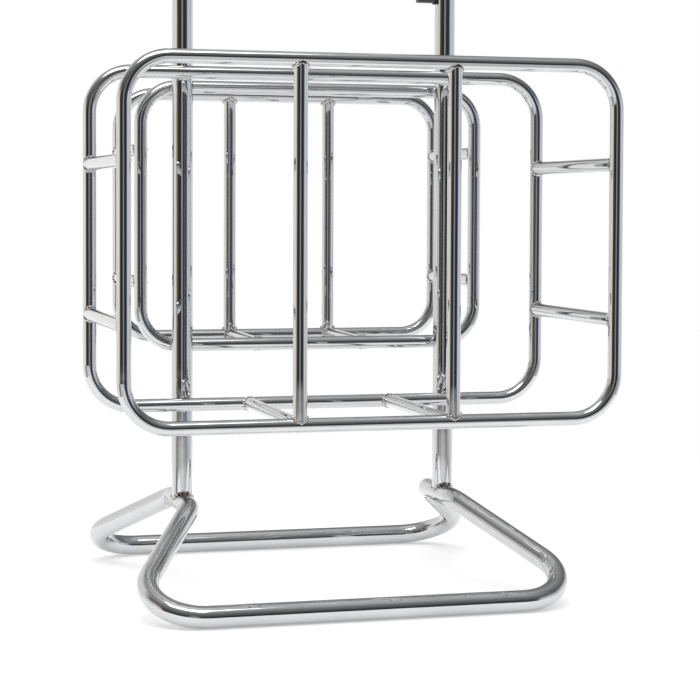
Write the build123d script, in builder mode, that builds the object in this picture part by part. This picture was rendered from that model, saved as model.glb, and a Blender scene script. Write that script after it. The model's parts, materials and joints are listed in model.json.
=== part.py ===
from build123d import *
import os

# Carry-on baggage gauge: a welded tube stand with two measuring cages and a sign.
# The large cage in front of the legs gauges a cabin case, the small one behind them
# a personal bag. Both stand open at the top. Millimetres; +Z is up, the front of the
# gauge faces -Y, and the origin is on the floor midway between the two legs.

# ---------------------------------------------------------------- driving dimensions
# Tube stock
cage_tube_d = 16.0
cage_tube_wall = 1.5
stand_tube_d = 25.4
stand_tube_wall = 2.0
weld_gap = 0.2

# Large cage, clear sizes inside the tubes
main_inside_w = 550.0
main_inside_h = 385.0
main_inside_d = 240.0
main_corner_r = 50.0
main_underside_z = 217.0
main_bar_x = 88.5
main_rail_offset_z = 89.0

# Small cage, clear sizes inside the tubes
small_inside_w = 413.0
small_inside_h = 300.0
small_inside_d = 155.0
small_corner_r = 45.0
small_top_drop = 15.0
small_bar_x = 67.0
small_rail_offset_z = 81.0

# Legs: one tube bent over the top
leg_x = 167.0
leg_top_z = 1240.0
leg_bend_r = 63.5

# Base: one closed tube, a little wider at the back, pinched up to a short waist under each leg
base_front_corner_x = 279.0
base_rear_corner_x = 286.0
base_front_y = 250.0
base_rear_y = 239.0
base_corner_r = 58.0
waist_z = 103.0
waist_front_y = 48.0
waist_rear_y = 65.0
waist_bend_r = 38.0

# Sign panel between the legs, and the clips that hold it
panel_edge_inset = 3.6
panel_h = 420.0
panel_t = 3.0
panel_corner_r = 4.0
panel_underside_z = 727.0
clip_w = 21.5
clip_d = 12.0
clip_h = 24.0
clip_lip = 6.0
clip_edge_r = 1.0
panel_fit = 0.2
saddle_w = 5.0
saddle_d = 11.0
saddle_h = 27.0
stud_d = 5.0
stud_hole_d = 5.4
thread_fit = 0.05
clamp_screw_d = 4.0
clamp_head_d = 7.5
clamp_head_h = 2.6
clamp_socket_af = 2.5
clamp_socket_depth = 1.4
clamp_socket_sides = 6

# ---------------------------------------------------------------- derived places
cage_tube_r = cage_tube_d / 2
stand_tube_r = stand_tube_d / 2

main_half_w = main_inside_w / 2 + cage_tube_r
main_half_h = main_inside_h / 2 + cage_tube_r
main_z = main_underside_z + cage_tube_r + main_half_h
main_rear_y = -(stand_tube_r + weld_gap + cage_tube_r)
main_front_y = main_rear_y - cage_tube_d - main_inside_d

small_half_w = small_inside_w / 2 + cage_tube_r
small_half_h = small_inside_h / 2 + cage_tube_r
small_z = main_z + main_half_h - small_top_drop - small_half_h
small_near_y = stand_tube_r + weld_gap + cage_tube_r
small_far_y = small_near_y + cage_tube_d + small_inside_d

panel_z = panel_underside_z + panel_h / 2
clip_outer_x = leg_x - stand_tube_r - weld_gap - (saddle_w - clip_edge_r) / 2
clip_x = clip_outer_x - clip_w / 2
panel_w = 2 * (clip_outer_x - panel_edge_inset)
clip_lower_z = panel_underside_z - clip_lip + clip_h / 2
clip_upper_z = panel_underside_z + panel_h + clip_lip - clip_h / 2
saddle_x = clip_outer_x + saddle_w / 2

UP = (0, 0, 1)
BACK = (0, 1, 0)
ACROSS = (1, 0, 0)
SIDES = {"left": -1, "right": 1}

os.makedirs("parts", exist_ok=True)


def save(part, name):
    """Label a finished piece and write its STEP file."""
    part.label = name
    export_step(part, f"parts/{name}.step")


# ---------------------------------------------------------------- tube work
def bent_tube(points, bend_r, tube_d, wall):
    """A round tube along straight runs with a bend at each inner point."""
    with BuildPart() as tube:
        with BuildLine() as path:
            FilletPolyline(*points, radius=bend_r)
        with BuildSketch(Plane(origin=path.line @ 0, z_dir=path.line % 0)):
            Circle(tube_d / 2)
            Circle(tube_d / 2 - wall, mode=Mode.SUBTRACT)
        sweep(path=path.line)
    return tube.part


def mirrored_loop(points, bend_r, tube_d, wall):
    """A closed tube loop from its right half, which starts and ends at X = 0."""
    with BuildPart() as loop:
        add(bent_tube(points, bend_r, tube_d, wall))
        mirror(about=Plane.YZ)
    return loop.part


def rounded_frame(half_w, half_h, bend_r, y, z):
    """An upright rounded rectangle of cage tube, in the plane at y."""
    points = [
        (0, y, z - half_h),
        (half_w, y, z - half_h),
        (half_w, y, z + half_h),
        (0, y, z + half_h),
    ]
    return mirrored_loop(points, bend_r, cage_tube_d, cage_tube_wall)


def coped_bar(start, direction, length, crossing_direction):
    """A straight cage tube between two crossing tubes, its ends cut to their shape."""
    begin = Vector(start)
    end = begin + Vector(direction) * length
    with BuildPart() as bar:
        with BuildSketch(Plane(origin=begin, z_dir=direction)):
            Circle(cage_tube_r)
            Circle(cage_tube_r - cage_tube_wall, mode=Mode.SUBTRACT)
        extrude(amount=length)
        for centre in (begin, end):
            with BuildSketch(Plane(origin=centre, z_dir=crossing_direction)):
                Circle(cage_tube_r + weld_gap)
            extrude(amount=cage_tube_d, both=True, mode=Mode.SUBTRACT)
    return bar.part


def floor_bar(start, length, upright_y):
    """A cage floor tube, also cut round the upright bar that stands at its end."""
    with BuildPart() as bar:
        add(coped_bar(start, BACK, length, ACROSS))
        with BuildSketch(Plane(origin=(start[0], upright_y, start[2]), z_dir=UP)):
            Circle(cage_tube_r + weld_gap)
        extrude(amount=cage_tube_d, mode=Mode.SUBTRACT)
    return bar.part


# ---------------------------------------------------------------- stand
def base_loop():
    """The floor loop: front and rear floor bars, four risers and two waists."""
    floor_z = stand_tube_r
    points = [
        (0, -base_front_y, floor_z),
        (base_front_corner_x, -base_front_y, floor_z),
        (leg_x, -waist_front_y, waist_z),
        (leg_x, waist_rear_y, waist_z),
        (base_rear_corner_x, base_rear_y, floor_z),
        (0, base_rear_y, floor_z),
    ]
    radii = [base_corner_r, waist_bend_r, waist_bend_r, base_corner_r]
    return mirrored_loop(points, radii, stand_tube_d, stand_tube_wall)


def leg_hoop():
    """Both legs and the top bar in one tube, coped on the waists, drilled for the clips."""
    top_z = leg_top_z - stand_tube_r
    points = [
        (-leg_x, 0, waist_z),
        (-leg_x, 0, top_z),
        (leg_x, 0, top_z),
        (leg_x, 0, waist_z),
    ]
    with BuildPart() as hoop:
        add(bent_tube(points, leg_bend_r, stand_tube_d, stand_tube_wall))
        for side in SIDES.values():
            with BuildSketch(Plane(origin=(side * leg_x, 0, waist_z), z_dir=(0, 1, 0))):
                Circle(stand_tube_r + weld_gap)
            extrude(amount=stand_tube_d, both=True, mode=Mode.SUBTRACT)
            for z in (clip_lower_z, clip_upper_z):
                with BuildSketch(Plane(origin=(side * leg_x, 0, z), z_dir=(-side, 0, 0))):
                    Circle(stud_hole_d / 2)
                extrude(amount=stand_tube_d, mode=Mode.SUBTRACT)
    return hoop.part


save(base_loop(), "base_loop")
save(leg_hoop(), "leg_hoop")

# ---------------------------------------------------------------- large cage
save(rounded_frame(main_half_w, main_half_h, main_corner_r, main_front_y, main_z), "main_front_frame")
save(rounded_frame(main_half_w, main_half_h, main_corner_r, main_rear_y, main_z), "main_rear_frame")

main_bottom_z = main_z - main_half_h
main_depth = main_rear_y - main_front_y
for side_name, side in SIDES.items():
    bar_x = side * main_bar_x
    front_bar = coped_bar((bar_x, main_front_y, main_bottom_z), UP, 2 * main_half_h, ACROSS)
    save(front_bar, f"main_front_bar_{side_name}")
    main_floor_bar = floor_bar((bar_x, main_front_y, main_bottom_z), main_depth, main_front_y)
    save(main_floor_bar, f"main_floor_bar_{side_name}")
    for level_name, level in (("upper", 1), ("lower", -1)):
        rail_z = main_z + level * main_rail_offset_z
        rail = coped_bar((side * main_half_w, main_front_y, rail_z), BACK, main_depth, UP)
        save(rail, f"main_{level_name}_rail_{side_name}")

# ---------------------------------------------------------------- small cage
save(rounded_frame(small_half_w, small_half_h, small_corner_r, small_near_y, small_z), "small_near_frame")
save(rounded_frame(small_half_w, small_half_h, small_corner_r, small_far_y, small_z), "small_far_frame")

small_bottom_z = small_z - small_half_h
small_depth = small_far_y - small_near_y
for side_name, side in SIDES.items():
    bar_x = side * small_bar_x
    far_bar = coped_bar((bar_x, small_far_y, small_bottom_z), UP, 2 * small_half_h, ACROSS)
    save(far_bar, f"small_far_bar_{side_name}")
    small_floor_bar = floor_bar((bar_x, small_near_y, small_bottom_z), small_depth, small_far_y)
    save(small_floor_bar, f"small_floor_bar_{side_name}")
    for level_name, level in (("upper", 1), ("lower", -1)):
        rail_z = small_z + level * small_rail_offset_z
        rail = coped_bar((side * small_half_w, small_near_y, rail_z), BACK, small_depth, UP)
        save(rail, f"small_{level_name}_rail_{side_name}")


# ---------------------------------------------------------------- sign
with BuildPart() as sign_panel:
    with BuildSketch(Plane(origin=(0, 0, panel_z), x_dir=ACROSS, z_dir=(0, -1, 0))):
        RectangleRounded(panel_w, panel_h, panel_corner_r)
    extrude(amount=panel_t / 2, both=True)
save(sign_panel.part, "sign_panel")


def sign_clip(side, level):
    """A block slotted for one corner of the panel; level is 1 at the panel's top."""
    clip_z = clip_upper_z if level > 0 else clip_lower_z
    panel_edge_z = panel_z + level * (panel_h / 2 + panel_fit)
    slot_outer_x = panel_w / 2 + panel_fit
    with BuildPart() as clip:
        with BuildSketch(Plane(origin=(side * clip_x, 0, clip_z), z_dir=UP)):
            Rectangle(clip_w, clip_d)
        extrude(amount=clip_h / 2, both=True)
        chamfer(clip.edges().filter_by(Axis.Z), length=clip_edge_r)
        with BuildSketch(Plane(origin=(0, 0, panel_edge_z), x_dir=ACROSS, z_dir=(0, 0, -level))):
            Rectangle(2 * slot_outer_x, panel_t + 2 * panel_fit)
        extrude(amount=clip_h, mode=Mode.SUBTRACT)
        with BuildSketch(Plane(origin=(side * clip_outer_x, 0, clip_z), z_dir=(-side, 0, 0))):
            Circle(stud_d / 2 + thread_fit)
        extrude(amount=clip_outer_x - slot_outer_x, mode=Mode.SUBTRACT)
        with BuildSketch(Plane(origin=(side * clip_x, clip_d / 2, clip_z), z_dir=(0, -1, 0))):
            Circle(clamp_screw_d / 2 + thread_fit)
        extrude(amount=clip_d / 2, mode=Mode.SUBTRACT)
    return clip.part


def clip_saddle(side, clip_z):
    """The pad between a clip and the round leg, hollowed to the leg."""
    with BuildPart() as saddle:
        with BuildSketch(Plane(origin=(side * saddle_x, 0, clip_z), z_dir=UP)):
            Rectangle(saddle_w, saddle_d)
        extrude(amount=saddle_h / 2, both=True)
        with BuildSketch(Plane(origin=(side * leg_x, 0, clip_z), z_dir=UP)):
            Circle(stand_tube_r + weld_gap)
        extrude(amount=saddle_h, both=True, mode=Mode.SUBTRACT)
        with BuildSketch(Plane(origin=(side * clip_x, 0, clip_z), z_dir=(side, 0, 0))):
            Circle(stud_hole_d / 2)
        extrude(amount=leg_x, mode=Mode.SUBTRACT)
    return saddle.part


def clip_stud(side, clip_z):
    """The stud that ties a clip through its saddle to the leg's wall."""
    start_x = panel_w / 2 + 2 * panel_fit
    end_x = leg_x - stand_tube_r + 2 * stand_tube_wall
    with BuildPart() as stud:
        with BuildSketch(Plane(origin=(side * start_x, 0, clip_z), z_dir=(side, 0, 0))):
            Circle(stud_d / 2)
        extrude(amount=end_x - start_x)
    return stud.part


def clamp_screw(side, clip_z):
    """The socket screw behind a clip that presses on the panel."""
    head_y = clip_d / 2
    tip_y = panel_t / 2 + panel_fit / 2
    with BuildPart() as screw:
        with BuildSketch(Plane(origin=(side * clip_x, tip_y, clip_z), z_dir=BACK)):
            Circle(clamp_screw_d / 2)
        extrude(amount=head_y - tip_y)
        with BuildSketch(Plane(origin=(side * clip_x, head_y, clip_z), z_dir=BACK)):
            Circle(clamp_head_d / 2)
        extrude(amount=clamp_head_h)
        socket_plane = Plane(origin=(side * clip_x, head_y + clamp_head_h, clip_z), z_dir=(0, -1, 0))
        with BuildSketch(socket_plane):
            RegularPolygon(clamp_socket_af / 2, clamp_socket_sides, major_radius=False)
        extrude(amount=clamp_socket_depth, mode=Mode.SUBTRACT)
    return screw.part


def group(solids, name):
    """Loose solids of one kind, kept together in one node."""
    save(Compound(children=solids), name)


saddles = []
studs = []
screws = []
for side_name, side in SIDES.items():
    for level_name, level, clip_z in (("upper", 1, clip_upper_z), ("lower", -1, clip_lower_z)):
        save(sign_clip(side, level), f"sign_clip_{level_name}_{side_name}")
        saddles.append(clip_saddle(side, clip_z))
        studs.append(clip_stud(side, clip_z))
        screws.append(clamp_screw(side, clip_z))
group(saddles, "clip_saddles")
group(studs, "clip_studs")
group(screws, "clamp_screws")
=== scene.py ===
import json
import math

import bpy
import numpy as np
from mathutils import Matrix, Vector


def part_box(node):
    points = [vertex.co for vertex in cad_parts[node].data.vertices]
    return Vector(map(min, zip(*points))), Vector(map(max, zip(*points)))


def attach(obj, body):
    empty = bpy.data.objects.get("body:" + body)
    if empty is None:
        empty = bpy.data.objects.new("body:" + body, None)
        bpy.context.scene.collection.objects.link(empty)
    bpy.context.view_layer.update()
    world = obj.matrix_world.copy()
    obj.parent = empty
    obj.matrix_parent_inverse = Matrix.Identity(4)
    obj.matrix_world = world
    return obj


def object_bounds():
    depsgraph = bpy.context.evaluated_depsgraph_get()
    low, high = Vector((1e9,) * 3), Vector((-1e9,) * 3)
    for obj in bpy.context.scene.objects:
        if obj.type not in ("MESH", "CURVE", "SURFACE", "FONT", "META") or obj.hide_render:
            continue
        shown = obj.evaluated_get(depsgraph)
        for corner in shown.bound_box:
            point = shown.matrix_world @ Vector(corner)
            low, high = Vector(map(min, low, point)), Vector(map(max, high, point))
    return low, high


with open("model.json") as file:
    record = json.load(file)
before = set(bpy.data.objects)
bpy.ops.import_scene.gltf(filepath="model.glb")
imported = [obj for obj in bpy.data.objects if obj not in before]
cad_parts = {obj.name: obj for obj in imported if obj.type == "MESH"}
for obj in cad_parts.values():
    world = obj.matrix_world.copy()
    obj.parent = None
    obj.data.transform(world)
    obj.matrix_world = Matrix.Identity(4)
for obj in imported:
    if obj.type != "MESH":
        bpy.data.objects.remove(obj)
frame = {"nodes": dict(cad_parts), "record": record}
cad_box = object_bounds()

MM = 0.001

# ------------------------------------------------------------ places, from the CAD boxes
SIDES = {"left": -1, "right": 1}


def middle(node):
    """The centre of a node's box."""
    low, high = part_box(node)
    return (low + high) / 2


def frame_lines(node):
    """(tube radius, y, half width, bottom z, top z) of a rounded frame's centre line."""
    low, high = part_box(node)
    r = (high.y - low.y) / 2
    return r, (low.y + high.y) / 2, high.x - r, low.z + r, high.z - r


cage_r, main_front_y, main_x, main_bottom_z, main_top_z = frame_lines("main_front_frame")
main_rear_y = frame_lines("main_rear_frame")[1]
small_near_y, small_x, small_bottom_z, small_top_z = frame_lines("small_near_frame")[1:]
small_far_y = frame_lines("small_far_frame")[1]
hoop_low, hoop_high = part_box("leg_hoop")
stand_r = (hoop_high.y - hoop_low.y) / 2
leg_x = hoop_high.x - stand_r
waist_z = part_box("base_loop")[1].z - stand_r


# ------------------------------------------------------------ node helpers
MIX_A, MIX_B, MIX_RESULT = 6, 7, 2  # the colour sockets of a Mix node


class Nodes:
    """Adds shader nodes to a tree and joins them."""

    def __init__(self, tree):
        self.tree = tree

    def add(self, kind, inputs=None, **settings):
        """A new node with these settings and inputs."""
        node = self.tree.nodes.new(kind)
        for key, value in settings.items():
            setattr(node, key, value)
        for key, value in (inputs or {}).items():
            self.put(node.inputs[key], value)
        return node

    def put(self, socket, value):
        """Joins another node's output to a socket, or sets a constant on it."""
        if isinstance(value, bpy.types.NodeSocket):
            self.tree.links.new(value, socket)
        else:
            socket.default_value = value

    def math(self, operation, *values):
        """The result of a Math node."""
        return self.add("ShaderNodeMath", dict(enumerate(values)), operation=operation).outputs[0]

    def ramp(self, factor, stops):
        """A colour ramp: stops are (place, grey) or (place, (red, green, blue))."""
        node = self.add("ShaderNodeValToRGB", {"Fac": factor})
        elements = node.color_ramp.elements
        while len(elements) < len(stops):
            elements.new(0.5)
        for element, (place, colour) in zip(elements, stops):
            element.position = place
            element.color = (*colour, 1.0) if isinstance(colour, tuple) else (colour, colour, colour, 1.0)
        return node.outputs["Color"]

    def mix(self, factor, a, b, mode="MIX"):
        """Colour a at factor 0, and at factor 1 colour b, or a and b joined as the mode says."""
        node = self.add("ShaderNodeMix", {"Factor": factor}, data_type="RGBA", blend_type=mode)
        self.put(node.inputs[MIX_A], a)
        self.put(node.inputs[MIX_B], b)
        return node.outputs[MIX_RESULT]

    def noise(self, vector, scale, detail=2.0, roughness=0.5):
        """Soft noise around 0.5."""
        inputs = {"Vector": vector, "Scale": scale, "Detail": detail, "Roughness": roughness}
        return self.add("ShaderNodeTexNoise", inputs).outputs["Fac"]

    def spread(self, value, low, high, to_low, to_high):
        """The value's range from low to high, moved to to_low to to_high and held there outside it."""
        inputs = {0: value, 1: low, 2: high, 3: to_low, 4: to_high}
        return self.add("ShaderNodeMapRange", inputs, clamp=True).outputs[0]


def material(name, constants):
    """A principled material with these constants: (material, node helper, shader)."""
    made = bpy.data.materials.new(name)
    made.use_nodes = True
    nodes = Nodes(made.node_tree)
    shader = made.node_tree.nodes["Principled BSDF"]
    for key, value in constants.items():
        shader.inputs[key].default_value = value
    return made, nodes, shader


def object_place(nodes):
    """The point on the object, in metres."""
    return nodes.add("ShaderNodeTexCoord").outputs["Object"]


def stretched(nodes, vector, scale):
    """The vector with each axis scaled: over 1 squashes a pattern along that axis, under 1 stretches it."""
    inputs = {"Vector": vector, "Scale": scale}
    return nodes.add("ShaderNodeMapping", inputs).outputs["Vector"]


def add_bump(nodes, shader, heights):
    """Chains bumps: heights are (height, distance in mm, strength)."""
    normal = None
    for height, distance, strength in heights:
        inputs = {"Height": height, "Distance": distance * MM, "Strength": strength}
        if normal is not None:
            inputs["Normal"] = normal
        normal = nodes.add("ShaderNodeBump", inputs).outputs["Normal"]
    nodes.put(shader.inputs["Normal"], normal)


# ------------------------------------------------------------ materials
# Painted shade: a brown darkening on the front of the foot beads stands in for the shade in the gap at the
# feet.
GAP_SHADE_BROWN = (0.16, 0.11, 0.07, 1.0)
GAP_SHADE_FULL, GAP_SHADE_NONE = 0.98, 0.84  # tube radii in front of the legs' plane where the painted shade is full, and gone


def chrome(name, light, dark, rough_low, rough_high, ripple):
    """Bright plate: faint clouds, handling smears, hairline scratches, a ripple (mm) and tiny pits."""
    made, nodes, shader = material(name, {"Metallic": 1.0})
    place = object_place(nodes)
    clouds = nodes.noise(place, scale=14.0, detail=4.0, roughness=0.6)
    nodes.put(shader.inputs["Base Color"], nodes.ramp(clouds, [(0.3, dark), (0.7, light)]))
    tall = stretched(nodes, place, (1.0, 1.0, 0.35))
    smears = nodes.noise(tall, scale=42.0, detail=5.0, roughness=0.65)
    flat = stretched(nodes, place, (1.0, 1.0, 14.0))
    hair = nodes.noise(flat, scale=260.0, detail=2.0, roughness=0.7)
    scratch = nodes.spread(hair, 0.68, 0.76, 0.0, 0.03)
    rough = nodes.spread(smears, 0.38, 0.72, rough_low, rough_high)
    nodes.put(shader.inputs["Roughness"], nodes.math("ADD", rough, scratch))
    wave = nodes.noise(place, scale=26.0, detail=1.0, roughness=0.4)
    cells = nodes.add("ShaderNodeTexVoronoi", {"Vector": place, "Scale": 190.0}).outputs["Distance"]
    pits = nodes.spread(cells, 0.0, 0.10, 0.0, 1.0)
    add_bump(nodes, shader, [(wave, ripple, 0.35), (pits, 0.04, 0.25)])
    return made


def painted_gap_shade(plate):
    """A copy of the plate with brown painted shade where the beads round the feet face the front, standing in
    for the shade in the gap there.
    """
    made = plate.copy()
    made.name = "foot_chrome"
    nodes = Nodes(made.node_tree)
    shader = made.node_tree.nodes["Principled BSDF"]
    unshaded = shader.inputs["Base Color"].links[0].from_socket
    place = object_place(nodes)
    depth = nodes.add("ShaderNodeSeparateXYZ", {0: place}).outputs["Y"]
    front = nodes.spread(depth, -GAP_SHADE_FULL * stand_r, -GAP_SHADE_NONE * stand_r, 1.0, 0.0)
    blotch = nodes.spread(nodes.noise(place, scale=300.0, detail=3.0), 0.35, 0.6, 0.4, 1.0)
    # The painted shade: the plate's colour turns brown towards the front, broken up by noise.
    shaded = nodes.mix(nodes.math("MULTIPLY", front, blotch), unshaded, GAP_SHADE_BROWN)
    nodes.put(shader.inputs["Base Color"], shaded)
    return made


def sign_face():
    """Satin white board with a fine orange peel."""
    made, nodes, shader = material("sign_panel_board", {"Specular IOR Level": 0.4})
    place = object_place(nodes)
    cloud = nodes.noise(place, scale=6.0, detail=3.0, roughness=0.6)
    stops = [(0.3, (0.74, 0.75, 0.75)), (0.7, (0.80, 0.81, 0.81))]
    nodes.put(shader.inputs["Base Color"], nodes.ramp(cloud, stops))
    smears = nodes.noise(place, scale=30.0, detail=4.0)
    nodes.put(shader.inputs["Roughness"], nodes.spread(smears, 0.3, 0.7, 0.32, 0.46))
    add_bump(nodes, shader, [(nodes.noise(place, scale=900.0), 0.06, 0.3)])
    return made


def clip_paint():
    """Dark grey powder coat, worn lighter in spots."""
    made, nodes, shader = material("sign_clip_paint", {})
    place = object_place(nodes)
    cloud = nodes.noise(place, scale=120.0, detail=4.0, roughness=0.6)
    stops = [(0.3, (0.045, 0.047, 0.05)), (0.62, (0.075, 0.078, 0.082)), (0.78, (0.14, 0.14, 0.145))]
    nodes.put(shader.inputs["Base Color"], nodes.ramp(cloud, stops))
    nodes.put(shader.inputs["Roughness"], nodes.spread(cloud, 0.3, 0.7, 0.42, 0.6))
    add_bump(nodes, shader, [(nodes.noise(place, scale=1500.0), 0.08, 0.5)])
    return made


def saddle_rubber():
    """Dull black rubber with a fine grain."""
    made, nodes, shader = material("clip_saddle_rubber", {"Specular IOR Level": 0.3})
    place = object_place(nodes)
    cloud = nodes.noise(place, scale=200.0, detail=3.0)
    nodes.put(shader.inputs["Base Color"], nodes.ramp(cloud, [(0.3, 0.014), (0.7, 0.03)]))
    nodes.put(shader.inputs["Roughness"], nodes.spread(cloud, 0.3, 0.7, 0.7, 0.9))
    add_bump(nodes, shader, [(nodes.noise(place, scale=2400.0), 0.1, 0.5)])
    return made


def fastener_steel():
    """Plain steel with turning marks."""
    made, nodes, shader = material("fastener_steel", {"Metallic": 1.0})
    place = object_place(nodes)
    turned = nodes.noise(stretched(nodes, place, (1.0, 12.0, 1.0)), scale=700.0)
    nodes.put(shader.inputs["Base Color"], nodes.ramp(turned, [(0.3, 0.36), (0.7, 0.5)]))
    nodes.put(shader.inputs["Roughness"], nodes.spread(turned, 0.3, 0.7, 0.24, 0.42))
    add_bump(nodes, shader, [(turned, 0.03, 0.4)])
    return made


tube_chrome = chrome("tube_chrome", (0.66, 0.665, 0.67), (0.60, 0.605, 0.615), 0.012, 0.05, 0.8)
weld_chrome = chrome("weld_chrome", (0.67, 0.66, 0.645), (0.50, 0.475, 0.44), 0.02, 0.09, 1.4)
# The foot beads' plate, with brown painted shade on their front.
foot_chrome = painted_gap_shade(weld_chrome)
MATERIALS = {
    "chrome": tube_chrome,
    "sign_panel": sign_face(),
    "sign_clip": clip_paint(),
    "clip_saddle": saddle_rubber(),
    "fastener": fastener_steel(),
}
slot_of = {subpart["node"]: subpart["material_slot"] for subpart in frame["record"]["subparts"]}
for node_name, node in frame["nodes"].items():
    node.data.materials.clear()
    node.data.materials.append(MATERIALS[slot_of[node_name]])


# ------------------------------------------------------------ weld beads
X, Y, Z = (1, 0, 0), (0, 1, 0), (0, 0, 1)
BACK, FRONT, UP, DOWN = (0, 1, 0), (0, -1, 0), (0, 0, 1), (0, 0, -1)

CAGE_BEAD = 1.7 * MM  # bead radius on the cages' coped joints
FOOT_BEAD = 1.4 * MM  # bead radius round the feet of the legs
TOUCH_BEAD = 2.2 * MM  # bead radius where the cages touch the legs
TOUCH_HALF_X, TOUCH_HALF_Z = 9 * MM, 7.2 * MM
BEAD_PROUD = 0.7 * MM  # the most a bead stands out of the CAD box, at the front and back only
FLOOR_BAR_THIN, RAIL_THIN = 0.35, 0.45  # those beads' radius at their two sides, as a share
SADDLE = 0.48  # depth of a cope's lowest points, in tube radii from the crossing tube's axis
LIFT = 0.25  # how far a cope's bead is lifted off both tubes, in bead radii
AROUND_BEAD, ALONG_COPE, ALONG_TOUCH = 14, 90, 60  # mesh steps
WAVES = ((7, 0.12), (13, 0.20), (19, 0.16), (31, 0.08))  # lumps along a bead: (how many, height)


class BeadMesh:
    """Collects lumpy closed beads, then makes one piece of them."""

    def __init__(self, seed):
        self.random = np.random.RandomState(seed)
        self.verts = []
        self.faces = []

    def lumps(self, angles, bead_r, thin):
        """The bead's radius along its run: lumpy, and thin times as much at the two sides."""
        radius = bead_r * (1 - (1 - thin) * np.cos(angles) ** 6)
        for count, share in WAVES:
            count += self.random.randint(-1, 2)
            phase = self.random.uniform(0, 2 * math.pi)
            radius += bead_r * share * np.sin(count * angles + phase)
        return radius

    def ring(self, centres, bead_r, thin=1.0):
        """A closed bead along a closed line of points."""
        centres = np.array(centres)
        steps = len(centres)
        angles = np.linspace(0, 2 * math.pi, steps, endpoint=False)
        radius = self.lumps(angles, bead_r, thin)
        tangent = np.roll(centres, -1, 0) - np.roll(centres, 1, 0)
        tangent /= np.linalg.norm(tangent, axis=1)[:, None]
        out = centres - centres.mean(0)
        out -= (out * tangent).sum(1)[:, None] * tangent
        out /= np.linalg.norm(out, axis=1)[:, None]
        side = np.cross(tangent, out)
        start = len(self.verts)
        phase = self.random.uniform(0, 2 * math.pi)
        for i in range(steps):
            for k in range(AROUND_BEAD):
                t = 2 * math.pi * k / AROUND_BEAD
                wobble = 1 + 0.10 * math.sin(2 * t + 9 * angles[i] + phase)
                arm = math.cos(t) * out[i] + math.sin(t) * side[i]
                self.verts.append(centres[i] + radius[i] * wobble * arm)
        for i in range(steps):
            here, after = (start + step * AROUND_BEAD for step in (i, (i + 1) % steps))
            for k in range(AROUND_BEAD):
                turned = (k + 1) % AROUND_BEAD
                self.faces.append((here + k, after + k, after + turned, here + turned))

    def cope(self, centre, along, crossing, tube_r, bead_r, thin=1.0):
        """A bead where a tube that runs along ends on an equal crossing tube."""
        along, crossing, centre = (np.array(v, float) for v in (along, crossing, centre))
        across = np.cross(crossing, along)
        line = []
        for t in np.linspace(0, 2 * math.pi, ALONG_COPE, endpoint=False):
            u, v = tube_r * math.cos(t), tube_r * math.sin(t)
            rise = math.sqrt(v**2 + (SADDLE * tube_r) ** 2)
            bar_normal = math.cos(t) * across + math.sin(t) * crossing
            tube_normal = (u * across + abs(v) * along) / tube_r
            both = bar_normal + tube_normal
            both /= max(np.linalg.norm(both), 1e-6)
            line.append(centre + u * across + v * crossing + rise * along + both * bead_r * LIFT)
        self.ring(line, bead_r, thin)

    def touch(self, centre):
        """A bead round the spot where a cage touches a leg, in the XZ plane."""
        line = []
        for t in np.linspace(0, 2 * math.pi, ALONG_TOUCH, endpoint=False):
            line.append(np.array(centre) + (TOUCH_HALF_X * math.cos(t), 0, TOUCH_HALF_Z * math.sin(t)))
        self.ring(line, TOUCH_BEAD)

    def piece(self, name, plate):
        """The beads as one object, dressed so that they hardly stand out of the CAD box."""
        mesh = bpy.data.meshes.new(name)
        proud = np.array((0.0, BEAD_PROUD, 0.0))
        dressed = np.clip(self.verts, np.array(cad_box[0]) - proud, np.array(cad_box[1]) + proud)
        mesh.from_pydata([tuple(v) for v in dressed], [], self.faces)
        mesh.update()
        mesh.shade_smooth()
        made = bpy.data.objects.new(name, mesh)
        bpy.context.scene.collection.objects.link(made)
        mesh.materials.append(plate)
        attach(made, "root")


def cage_welds(name, seed, upright, floor, rails, half_x, bottom_z, top_z, near_y, far_y, upright_y):
    """All the beads of one cage. near_y is the smaller y of its two frames."""
    beads = BeadMesh(seed)
    for side_name, side in SIDES.items():
        x = middle(f"{upright}_{side_name}").x
        beads.cope((x, upright_y, bottom_z), UP, X, cage_r, CAGE_BEAD)
        beads.cope((x, upright_y, top_z), DOWN, X, cage_r, CAGE_BEAD)
        x = middle(f"{floor}_{side_name}").x
        beads.cope((x, near_y, bottom_z), BACK, X, cage_r, CAGE_BEAD, FLOOR_BAR_THIN)
        beads.cope((x, far_y, bottom_z), FRONT, X, cage_r, CAGE_BEAD, FLOOR_BAR_THIN)
        for rail in rails:
            z = middle(f"{rail}_{side_name}").z
            beads.cope((side * half_x, near_y, z), BACK, Z, cage_r, CAGE_BEAD, RAIL_THIN)
            beads.cope((side * half_x, far_y, z), FRONT, Z, cage_r, CAGE_BEAD, RAIL_THIN)
    beads.piece(name, weld_chrome)


cage_welds(
    "weld_beads_large_cage", 11, "main_front_bar", "main_floor_bar", ("main_upper_rail", "main_lower_rail"),
    main_x, main_bottom_z, main_top_z, main_front_y, main_rear_y, main_front_y,
)
cage_welds(
    "weld_beads_small_cage", 23, "small_far_bar", "small_floor_bar", ("small_upper_rail", "small_lower_rail"),
    small_x, small_bottom_z, small_top_z, small_near_y, small_far_y, small_far_y,
)

feet = BeadMesh(37)
joints = BeadMesh(41)
for side in SIDES.values():
    feet.cope((side * leg_x, 0, waist_z), UP, Y, stand_r, FOOT_BEAD)
    for z in (main_bottom_z, main_top_z):
        joints.touch((side * leg_x, -stand_r, z))
    for z in (small_bottom_z, small_top_z):
        joints.touch((side * leg_x, stand_r, z))
feet.piece("weld_beads_feet", foot_chrome)
joints.piece("weld_beads_legs", weld_chrome)


# ------------------------------------------------------------ stage
FLOOR_LEFT, FLOOR_RIGHT, FLOOR_NEAR, FLOOR_FAR = -0.95, 0.95, -0.74, 1.1
FLOOR_GLOW = 0.32


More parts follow.
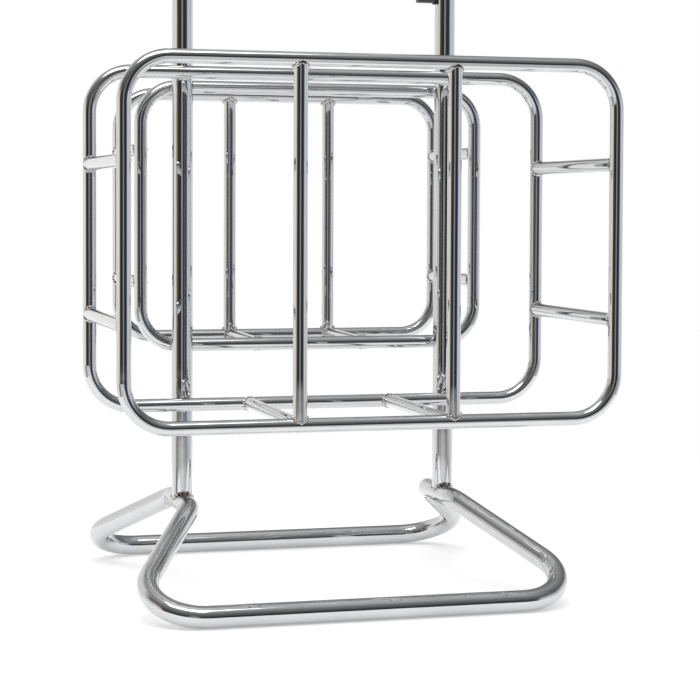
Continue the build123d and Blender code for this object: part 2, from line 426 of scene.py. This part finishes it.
def floor_sheet():
    """A plain pale floor under the stand, faintly aglow so that its shadows stay soft."""
    near = [(FLOOR_LEFT, FLOOR_NEAR, 0.0), (FLOOR_RIGHT, FLOOR_NEAR, 0.0)]
    far = [(FLOOR_RIGHT, FLOOR_FAR, 0.0), (FLOOR_LEFT, FLOOR_FAR, 0.0)]
    mesh = bpy.data.meshes.new("floor")
    mesh.from_pydata(near + far, [], [(0, 1, 2, 3)])
    made = bpy.data.objects.new("floor", mesh)
    bpy.context.scene.collection.objects.link(made)
    glow = {"Roughness": 0.8, "Emission Color": (1.0, 1.0, 1.0, 1.0), "Emission Strength": FLOOR_GLOW}
    paint, nodes, shader = material("floor_paint", glow)
    cloud = nodes.noise(object_place(nodes), scale=1.5)
    nodes.put(shader.inputs["Base Color"], nodes.ramp(cloud, [(0.3, 0.76), (0.7, 0.78)]))
    mesh.materials.append(paint)


floor_sheet()

# The photo's camera, fitted to the stand: place in metres, angles in degrees, focal length in pixels.
CAMERA_AT = Vector((-0.62358, -2.40271, 0.46407))
CAMERA_YAW, CAMERA_PITCH, CAMERA_ROLL = 15.549, -2.264, 0.235
FOCAL_PX, SHIFT_Y = 2003.65, -0.09
SENSOR_MM, FRAME_PX = 36.0, 700.0
CLIP_START, CLIP_END = 0.05, 60.0

yaw, pitch, roll = (math.radians(v) for v in (CAMERA_YAW, CAMERA_PITCH, CAMERA_ROLL))
forward = Vector((math.sin(yaw) * math.cos(pitch), math.cos(yaw) * math.cos(pitch), math.sin(pitch)))
right = Vector((math.cos(yaw), -math.sin(yaw), 0.0))
up = right.cross(forward)
tilted_right = right * math.cos(roll) + up * math.sin(roll)
tilted_up = up * math.cos(roll) - right * math.sin(roll)
camera_data = bpy.data.cameras.new("camera")
camera = bpy.data.objects.new("camera", camera_data)
bpy.context.scene.collection.objects.link(camera)
camera.matrix_world = Matrix(
    (
        (tilted_right.x, tilted_up.x, -forward.x, CAMERA_AT.x),
        (tilted_right.y, tilted_up.y, -forward.y, CAMERA_AT.y),
        (tilted_right.z, tilted_up.z, -forward.z, CAMERA_AT.z),
        (0, 0, 0, 1),
    )
)
camera_data.sensor_width = SENSOR_MM
camera_data.lens = FOCAL_PX * SENSOR_MM / FRAME_PX
camera_data.shift_y = SHIFT_Y
camera_data.clip_start, camera_data.clip_end = CLIP_START, CLIP_END
bpy.context.scene.camera = camera

# The room's brightness. Round the stand, angles run from -180 to 180 degrees: 0 is in front, where the
# photo was taken, and negative angles are to the left. Upward, they run from 0 at the horizon to 90.
ROUND_WALLS = [
    (-106, (1.02, 1.02, 1.0)), (-70, (1.05, 1.04, 1.0)), (-61, (0.84, 0.70, 0.40)),
    (-55, (0.10, 0.08, 0.06)), (-40, (0.08, 0.08, 0.08)), (-27, (0.015, 0.015, 0.02)),
    (-11, (0.05, 0.05, 0.06)), (-6, (0.34, 0.35, 0.38)), (5, (0.38, 0.38, 0.34)),
    (10, (0.09, 0.09, 0.09)), (27, (0.02, 0.02, 0.025)), (42, (0.06, 0.06, 0.07)),
    (52, (0.09, 0.14, 0.27)), (62, (0.68, 0.80, 0.95)), (78, (0.88, 0.88, 0.88)),
    (92, (0.70, 0.71, 0.75)), (112, (0.95, 0.95, 0.97)), (150, (1.0, 1.0, 1.0)),
]
ROUND_FLOOR = [
    (-80, 1.05), (-74, 0.60), (-69, 0.20), (-60, 0.32), (-50, 0.48), (-38, 0.76), (-10, 0.92),
    (10, 0.94), (31, 0.74), (43, 0.62), (58, (0.40, 0.41, 0.43)), (82, (0.50, 0.53, 0.58)),
    (98, 0.85), (120, 1.0),
]
FRONT_RISE = [(0, 0.02), (9, 0.05), (16, 0.09), (30, 0.17), (45, 0.27), (60, 0.47), (70, 0.66), (85, 0.92)]
SIDE_RISE = [
    (0, 1.0), (8, 0.9), (14, 0.7), (19, 0.4), (25, 0.18), (34, 0.22), (43, 0.26), (52, 0.32),
    (62, 0.42), (70, 0.6), (78, 0.82), (86, 0.97),
]
BACK_LEFT_RISE = [
    (0, 1.0), (20, 0.88), (33, 0.9), (43, 0.78), (52, 0.45), (62, 0.42), (70, 0.6), (78, 0.82), (86, 0.97),
]
SKY_STRENGTH, SKY_SPREAD = 1.9, 120
WHITE = (1.0, 1.0, 1.0, 1.0)


def share_along(nodes, ray, direction):
    """How much of the ray's unit vector runs in this direction, from -1 to 1."""
    inputs = {0: ray, 1: direction}
    return nodes.add("ShaderNodeVectorMath", inputs, operation="DOT_PRODUCT").outputs["Value"]


def round_ramp(nodes, turn, table):
    """A ramp over angles round the stand, for a turn that is 0 at -180 degrees and 1 at 180."""
    return nodes.ramp(turn, [((angle + 180) / 360, colour) for angle, colour in table])


def rise_ramp(nodes, rise, table):
    """A ramp over angles above the horizon, for a rise that is 0 at 0 degrees and 1 at 90."""
    return nodes.ramp(rise, [(angle / 90, colour) for angle, colour in table])


def studio():
    """A room for the chrome to mirror: dim in front of the stand, white behind. The camera sees white."""
    world = bpy.data.worlds.new("studio")
    world.use_nodes = True
    bpy.context.scene.world = world
    nodes = Nodes(world.node_tree)
    ray = nodes.add("ShaderNodeTexCoord").outputs["Generated"]
    to_front = Vector((CAMERA_AT.x, CAMERA_AT.y, 0)).normalized()
    to_right = Vector((-to_front.y, to_front.x, 0))
    frontward = share_along(nodes, ray, to_front)
    rightward = share_along(nodes, ray, to_right)
    angle = nodes.math("ARCTAN2", rightward, frontward)
    turn = nodes.math("ADD", nodes.math("DIVIDE", angle, 2 * math.pi), 0.5)
    height = nodes.add("ShaderNodeSeparateXYZ", {0: ray}).outputs["Z"]
    rise = nodes.math("DIVIDE", nodes.math("ARCSINE", height), math.pi / 2)

    left = nodes.spread(rightward, -0.45, -0.15, 1.0, 0.0)
    back = nodes.spread(frontward, -0.20, 0.10, 1.0, 0.0)
    side_rise = rise_ramp(nodes, rise, SIDE_RISE)
    back_left_rise = rise_ramp(nodes, rise, BACK_LEFT_RISE)
    darkening = nodes.mix(nodes.math("MULTIPLY", left, back), side_rise, back_left_rise)
    sides = nodes.mix(1.0, round_ramp(nodes, turn, ROUND_WALLS), darkening, "MULTIPLY")
    front = nodes.mix(1.0, sides, rise_ramp(nodes, rise, FRONT_RISE), "LIGHTEN")
    room = nodes.mix(nodes.spread(frontward, -0.05, 0.30, 0.0, 1.0), sides, front)

    below = nodes.spread(height, -0.135, -0.085, 1.0, 0.0)
    around = nodes.mix(below, room, round_ramp(nodes, turn, ROUND_FLOOR))
    seen = nodes.add("ShaderNodeLightPath").outputs["Is Camera Ray"]
    nodes.put(world.node_tree.nodes["Background"].inputs["Color"], nodes.mix(seen, around, WHITE))


def softbox(name, centre, aim, width, depth, radiance):
    """A soft rectangular lamp."""
    lamp = bpy.data.lights.new(name, "AREA")
    lamp.shape = "RECTANGLE"
    lamp.size, lamp.size_y = width, depth
    lamp.energy = radiance * math.pi * width * depth
    made = bpy.data.objects.new(name, lamp)
    bpy.context.scene.collection.objects.link(made)
    made.location = centre
    made.rotation_mode = "QUATERNION"
    made.rotation_quaternion = (Vector(aim) - Vector(centre)).to_track_quat("-Z", "Y")


def sky_fill():
    """Even light from above, which no polished face mirrors."""
    lamp = bpy.data.lights.new("sky_fill", "SUN")
    lamp.energy = SKY_STRENGTH
    lamp.angle = math.radians(SKY_SPREAD)
    made = bpy.data.objects.new("sky_fill", lamp)
    bpy.context.scene.collection.objects.link(made)
    made.visible_glossy = False


studio()
sky_fill()
softbox("softbox_overhead", (-0.45, -0.95, 2.6), (-0.2, -0.5, 0.0), width=1.7, depth=1.1, radiance=3.0)
bpy.context.scene.view_settings.view_transform = "Standard"
